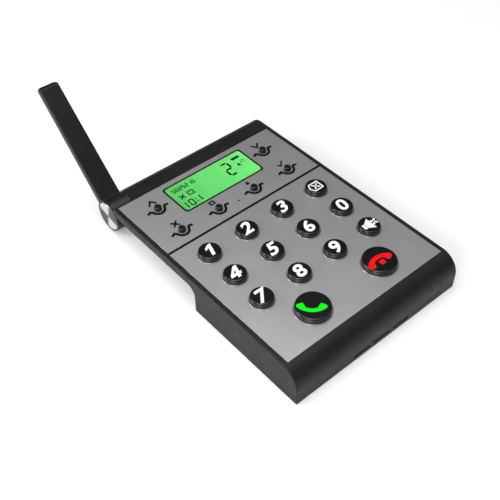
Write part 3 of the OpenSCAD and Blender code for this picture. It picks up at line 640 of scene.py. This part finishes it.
def make_digit(digit, material):
    """One digit on its key, fattened and leaning to the right. The 6 is a 9 turned round."""
    node = f"key_{digit}"
    x, y, z = top_of(node)
    if digit in DRAWN_DIGITS:
        loops = [[Vector(spot) for spot in loop] for loop in DRAWN_DIGITS[digit]]
    elif digit == 6:
        loops = [[-spot for spot in loop] for loop in outlines(9)]
    else:
        loops = outlines(digit)
    loops = [grown(loop, DIGIT_BOLD if i == 0 else -DIGIT_BOLD) for i, loop in enumerate(loops)]
    low = Vector(min(spot[i] for spot in loops[0]) for i in range(2))
    high = Vector(max(spot[i] for spot in loops[0]) for i in range(2))
    grow = DIGIT_HEIGHT / (high.y - low.y) * (DRAWN_HEIGHT if digit in DRAWN_DIGITS else 1)
    lean = ROUND_LEAN if digit in ROUND_DIGITS else DIGIT_LEAN
    middle = (low + high) / 2
    placed = []
    for loop in loops:
        spots = [(spot - middle) * grow for spot in loop]
        placed.append([(x + DIGIT_WIDE * spot.x + lean * spot.y, y + spot.y) for spot in spots])
    plate(f"digit_{digit}", [placed], z - SINK, z + INK, node, material)


def key_mark(name, node, shapes, material, turn=0.0, shift=(0, 0), grow=1.0):
    """A sign on a key, from shapes in millimetres about the middle of the key's top."""
    x, y, z = top_of(node)
    placed = [
        [moved(loop, x + shift[0] * MM, y + shift[1] * MM, turn, grow * MM) for loop in loops]
        for loops in shapes
    ]
    plate(name, placed, z - SINK, z + INK, node, material)


def handset():
    """A telephone handset seen from the side, ends down, in millimetres about its middle."""
    back = arc((0, -9.2), 11.4, 137, 43, 20)
    right_end = [(8.2, -2.9), (4.6, -4.4), (3.6, -1.7)]
    hollow = arc((0, -7.4), 7.1, 62, 118, 10)
    left_end = [(-x, y) for x, y in reversed(right_end)]
    return rounded(back + right_end + hollow + left_end, 1.4, 4)


def lines(*paths, width=1.0):
    """One shape for each path: a line of even width."""
    return [[ribbon(path, width)] for path in paths]


def make_key_marks(white, green, red):
    """The digits, a tag with a cross, a loudspeaker with a cross, and the two handsets."""
    for digit in range(10):
        make_digit(digit, white)
    tag = [(-3.4, 3.35), (3.2, 3.35), (3.2, -3.35), (-3.4, -3.35), (-5.2, 0)]
    inner_tag = [(-2.95, 2.5), (2.35, 2.5), (2.35, -2.5), (-2.95, -2.5), (-4.2, 0)]
    cross = lines([(-2.1, -1.8), (1.5, 1.8)], [(-2.1, 1.8), (1.5, -1.8)], width=0.9)
    tag_shapes = [[rounded(tag, 0.7), rounded(inner_tag, 0.4)]] + cross
    key_mark("delete_mark", "key_delete", tag_shapes, white)
    magnet = rounded([(-4.4, 1.8), (-2.5, 1.8), (-2.5, -1.8), (-4.4, -1.8)], 0.3)
    cone = rounded([(-2.25, 1.8), (1.6, 4.2), (1.6, -4.2), (-2.25, -1.8)], 0.35)
    cross = lines([(2.0, -1.7), (4.9, 1.7)], [(2.0, 1.7), (4.9, -1.7)], width=1.15)
    key_mark("mute_mark", "key_mute", [[magnet], [cone]] + cross, white)
    key_mark("call_mark", "key_call", [[handset()]], green, 138, (-2.2, -1.3), 0.94)
    pad = rounded([(-1.6, -1.5), (1.6, -1.5), (1.6, 1.5), (-1.6, 1.5)], 0.6)
    hangup = [[handset()], [moved(pad, 0.5, -3.1)]]
    key_mark("hangup_mark", "key_hangup", hangup, red, 0, (-1.0, 0.8))


# ---------------------------------------------------------------- marks on the panel

def smile(x, y):
    """The line in front of a menu button: a half circle with a wing to each side."""
    shoulder = SMILE_RADIUS + SMILE_SHOULDER
    path = [(x - SMILE_END, y - SMILE_WING), (x - shoulder, y + SMILE_WING)]
    path += arc((x, y), SMILE_RADIUS, 190, 350)
    path += [(x + shoulder, y + SMILE_WING), (x + SMILE_END, y - SMILE_WING + 0.6 * MM)]
    return ribbon(path, LINE)


def menu_shapes():
    """The mark behind each menu button, in millimetres about its own middle."""
    box = rectangle(-1.8, -1.5, 1.8, 1.5)
    return {
        "up_button": lines([(-2.4, -1.7), (0, 1.7), (2.4, -1.7)]),
        "down_button": lines([(-2.4, 1.7), (0, -1.7), (2.4, 1.7)]),
        "cancel_button": lines([(-1.9, -1.9), (1.9, 1.9)], [(-1.9, 1.9), (1.9, -1.9)]),
        "left_button": [[box, rectangle(-1.0, -0.7, 1.0, 0.7)]],
        "right_button": [[[(-1.4, -1.3), (1.4, -1.3), (0, 1.5)]]],
        "ok_button": lines([(-2.2, 0.1), (-0.7, -1.6), (2.4, 1.8)], width=0.9),
    }


def make_panel_marks(black):
    """The signs round the menu buttons, the dark strip in the groove and a black disc in the sound hole, a
    painted shade for the dark hole.
    """
    shapes = []
    for node, marks in menu_shapes().items():
        x, y, _ = top_of(node)
        shapes.append([smile(x, y)])
        for loops in marks:
            shapes.append([moved(loop, x, y + MARK_ABOVE, 0, MM) for loop in loops])
    plate("menu_marks", shapes, PANEL_TOP - SINK, PANEL_TOP + INK, "base", black)
    front, back = PANEL_LOW.y + DIVIDER_FRONT, PANEL_LOW.y + DIVIDER_BACK
    inlay = rectangle(PANEL_LOW.x + INLAY_INSET, front, PANEL_HIGH.x - INLAY_INSET, back)
    plate("divider_inlay", [[inlay]], PANEL_TOP - DIVIDER_DEEP, PANEL_TOP - INLAY_BELOW, "base", black)
    # painted shade: a black disc sunk in the sound hole makes it look dark
    x, y, _ = top_of("microphone")
    disc = arc((x, y), HOLE_SHADE_RADIUS, 0, 345, 23)
    plate("sound_hole_shade", [[disc]], PANEL_TOP - HOLE_SHADE_BOTTOM, PANEL_TOP - HOLE_SHADE_TOP, "base", black)


# ---------------------------------------------------------------- display

SEGMENTS = {
    "top": ((0, 1), (1, 1)),
    "upper_left": ((0, 1), (0, 0.5)),
    "upper_right": ((1, 1), (1, 0.5)),
    "middle": ((0, 0.5), (1, 0.5)),
    "lower_left": ((0, 0.5), (0, 0)),
    "lower_right": ((1, 0.5), (1, 0)),
    "bottom": ((0, 0), (1, 0)),
}
NUMERALS = {
    "0": ("top", "upper_left", "upper_right", "lower_left", "lower_right", "bottom"),
    "1": ("upper_right", "lower_right"),
    "2": ("top", "upper_right", "middle", "lower_left", "bottom"),
    "5": ("top", "upper_left", "middle", "lower_right", "bottom"),
}


def numeral(digit, x, y, width, height, stroke, gap=0.1):
    """One seven-segment numeral whose front left corner is at x, y; gap parts its strokes."""
    shapes = []
    for name in NUMERALS[digit]:
        start, end = (Vector((x + width * u, y + height * v)) for u, v in SEGMENTS[name])
        way = (end - start).normalized() * stroke * gap
        shapes.append([ribbon([start + way, end - way], stroke)])
    return shapes


def on_display(x, y):
    """A place on the display in millimetres from the window's front left corner."""
    return WINDOW_LOW.x + x * MM, WINDOW_LOW.y + y * MM


def display_box(low_x, low_y, high_x, high_y):
    """A rectangle on the display, in the same millimetres."""
    return rectangle(*on_display(low_x, low_y), *on_display(high_x, high_y))


def display_characters():
    """Numerals and plain signs: a date line, a time line and a large count."""
    shapes = numeral("2", *on_display(39.5, 8.4), 4.5 * MM, 11 * MM, 1.35 * MM, 0.4)
    for x, digit in ((1.8, "1"), (6.8, "0"), (11.6, "1")):
        shapes += numeral(digit, *on_display(x, 3.2), 2.6 * MM, 4.8 * MM, 0.85 * MM)
    for y in (4.0, 6.4):
        shapes.append([display_box(10.9, y, 11.8, y + 0.9)])
    cross = lines([(-1.6, -1.6), (1.6, 1.6)], [(-1.6, 1.6), (1.6, -1.6)], width=0.9)
    shapes += [[moved(loop, *on_display(6.5, 12.6), 0, MM) for loop in loops] for loops in cross]
    shapes.append([display_box(10.4, 10.9, 14.6, 14.6), display_box(11.2, 11.7, 13.8, 13.8)])
    for place, digit in enumerate("5025210"):
        shapes += numeral(digit, *on_display(4.4 + 2.35 * place, 18.0), 1.4 * MM, 2.6 * MM, 0.6 * MM)
    shapes.append([display_box(48.0, 18.5, 53.8, 20.5)])
    shapes.append([[on_display(47.6, 12.2), on_display(50.6, 12.4), on_display(49.0, 15.2)]])
    shapes.append([display_box(51.6, 13.8, 53.8, 16.0), display_box(51.95, 14.15, 53.45, 15.65)])
    return shapes


def make_display(dark, black):
    """The dark border printed on the window, and the characters under it."""
    edges = WINDOW_LOW.x, WINDOW_LOW.y, WINDOW_HIGH.x, WINDOW_HIGH.y
    inner_edges = edges[0] + BORDER, edges[1] + BORDER, edges[2] - BORDER, edges[3] - BORDER
    outer = rounded(rectangle(*edges), BORDER_CORNER)
    inner = rounded(rectangle(*inner_edges), BORDER_CORNER - BORDER / 2)
    top = WINDOW_HIGH.z
    plate("display_border", [[outer, inner]], top - SINK, top + INK, "base", black)
    low = GLASS_TOP + LCD_GAP
    plate("display_characters", display_characters(), low, low + LCD_THICK, "base", dark)


# ---------------------------------------------------------------- studio

def add_softbox(name, place, size, power):
    """A round soft light that faces the object."""
    data = bpy.data.lights.new(name, "AREA")
    data.shape = "DISK"
    data.size = size
    data.energy = power
    lamp = bpy.data.objects.new(name, data)
    lamp.location = place
    lamp.rotation_euler = Vector(place).to_track_quat("Z", "Y").to_euler()
    bpy.context.scene.collection.objects.link(lamp)


def make_world():
    """White to the camera; for light, pale above and dark beyond the object's back right."""
    world = bpy.data.worlds.new("studio")
    world.use_nodes = True
    tree = world.node_tree
    background = tree.nodes["Background"]
    place = tree.nodes.new("ShaderNodeTexCoord")
    parts = tree.nodes.new("ShaderNodeSeparateXYZ")
    ramp = tree.nodes.new("ShaderNodeValToRGB")
    while len(ramp.color_ramp.elements) < len(SKY):
        ramp.color_ramp.elements.new(0.5)
    for element, (height, shade) in zip(ramp.color_ramp.elements, SKY):
        element.position = height
        element.color = (shade, shade, shade, 1)
    facing = tree.nodes.new("ShaderNodeVectorMath")
    facing.operation = "DOT_PRODUCT"
    facing.inputs[1].default_value = DARK_SIDE
    dim = tree.nodes.new("ShaderNodeMapRange")
    for name, number in (("From Min", -0.3), ("From Max", 0.7), ("To Min", 1), ("To Max", DARK_SHADE)):
        dim.inputs[name].default_value = number
    shaded = tree.nodes.new("ShaderNodeVectorMath")
    shaded.operation = "SCALE"
    seen = tree.nodes.new("ShaderNodeLightPath")
    mix = tree.nodes.new("ShaderNodeMix")
    mix.data_type = "RGBA"
    mix.inputs[7].default_value = (1, 1, 1, 1)
    tree.links.new(place.outputs["Generated"], parts.inputs["Vector"])
    tree.links.new(parts.outputs["Z"], ramp.inputs["Fac"])
    tree.links.new(place.outputs["Generated"], facing.inputs[0])
    tree.links.new(facing.outputs["Value"], dim.inputs["Value"])
    tree.links.new(ramp.outputs["Color"], shaded.inputs[0])
    tree.links.new(dim.outputs["Result"], shaded.inputs["Scale"])
    tree.links.new(shaded.outputs["Vector"], mix.inputs[6])
    tree.links.new(seen.outputs["Is Camera Ray"], mix.inputs["Factor"])
    tree.links.new(mix.outputs[2], background.inputs["Color"])
    bpy.context.scene.world = world


def make_floor():
    """A pale paper floor, a little brighter to the camera."""
    mesh = bpy.data.meshes.new("floor")
    bm = bmesh.new()
    bmesh.ops.create_grid(bm, x_segments=1, y_segments=1, size=3)
    bm.to_mesh(mesh)
    bm.free()
    floor = bpy.data.objects.new("floor", mesh)
    g = Graph("floor_paper")
    g.set(Specular_IOR_Level=0.1)
    paper = g.blend(g.noise(40, 3), (0.78, 0.78, 0.78), (0.82, 0.82, 0.82))
    g.finish(paper, g.spread(g.noise(5, 3), 0.3, 0.7, 0.85, 1), g.bump(g.noise(0.8, 3), 0.01))
    g.set(Emission_Color=(1, 1, 1, 1))
    seen = g.add("ShaderNodeLightPath")
    glow = g.spread(seen.outputs["Is Camera Ray"], 0, 1, 0, FLOOR_GLOW)
    g.join(glow, g.shader.inputs["Emission Strength"])
    mesh.materials.append(g.material)
    bpy.context.scene.collection.objects.link(floor)


def make_studio():
    """The surroundings, the floor and three soft lights."""
    bpy.context.scene.view_settings.view_transform = "Standard"
    make_world()
    make_floor()
    add_softbox("top_softbox", (-0.1, 0.05, 1.1), 0.9, 5.0)
    add_softbox("left_softbox", (-0.8, -0.45, 0.7), 0.6, 5.2)
    add_softbox("rear_softbox", (-0.62, 0.42, 0.42), 0.25, 3.0)


make_camera()
make_materials()
white_ink = ink("white_ink", (0.72, 0.72, 0.72), (0.86, 0.86, 0.86))
black_ink = ink("black_ink", (0.004, 0.004, 0.004), (0.002, 0.002, 0.002))
green_ink = ink("green_ink", (0.01, 0.6, 0.02), (0.004, 0.85, 0.01))
red_ink = ink("red_ink", (0.6, 0.01, 0.01), (0.85, 0.004, 0.006))
lcd_ink = ink("lcd_dark", (0.003, 0.03, 0.006), (0.002, 0.018, 0.004))
make_key_marks(white_ink, green_ink, red_ink)
make_panel_marks(black_ink)
make_display(lcd_ink, black_ink)
make_studio()
